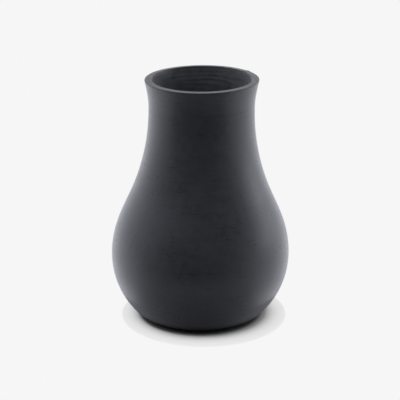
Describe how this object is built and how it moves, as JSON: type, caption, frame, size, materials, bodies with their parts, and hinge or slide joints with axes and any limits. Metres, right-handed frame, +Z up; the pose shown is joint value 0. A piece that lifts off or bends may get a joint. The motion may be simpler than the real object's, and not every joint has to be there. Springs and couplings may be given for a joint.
{
  "type": "vase",
  "caption": "Pear-shaped matte charcoal clay vase with a narrow neck, a flared open mouth and a thick flat lip, turned foot on felt pads; holds water and stems.",
  "frame": {"origin": "on the surface that the vase stands on, under the middle of its body", "axes": "+Z up along the vase's axis of turning, towards the open mouth; X and Y lie in the surface it stands on"},
  "size_m": [0.2056, 0.2056, 0.28],
  "materials": {
    "clay": "matte unglazed charcoal clay, lightly smoothed on the wheel, fine turning lines",
    "felt": "pressed dark felt"
  },
  "bodies": {
    "root": {"vase_body": "clay", "felt_pad_1": "felt", "felt_pad_2": "felt", "felt_pad_3": "felt", "felt_pad_4": "felt"}
  },
  "joints": []
}
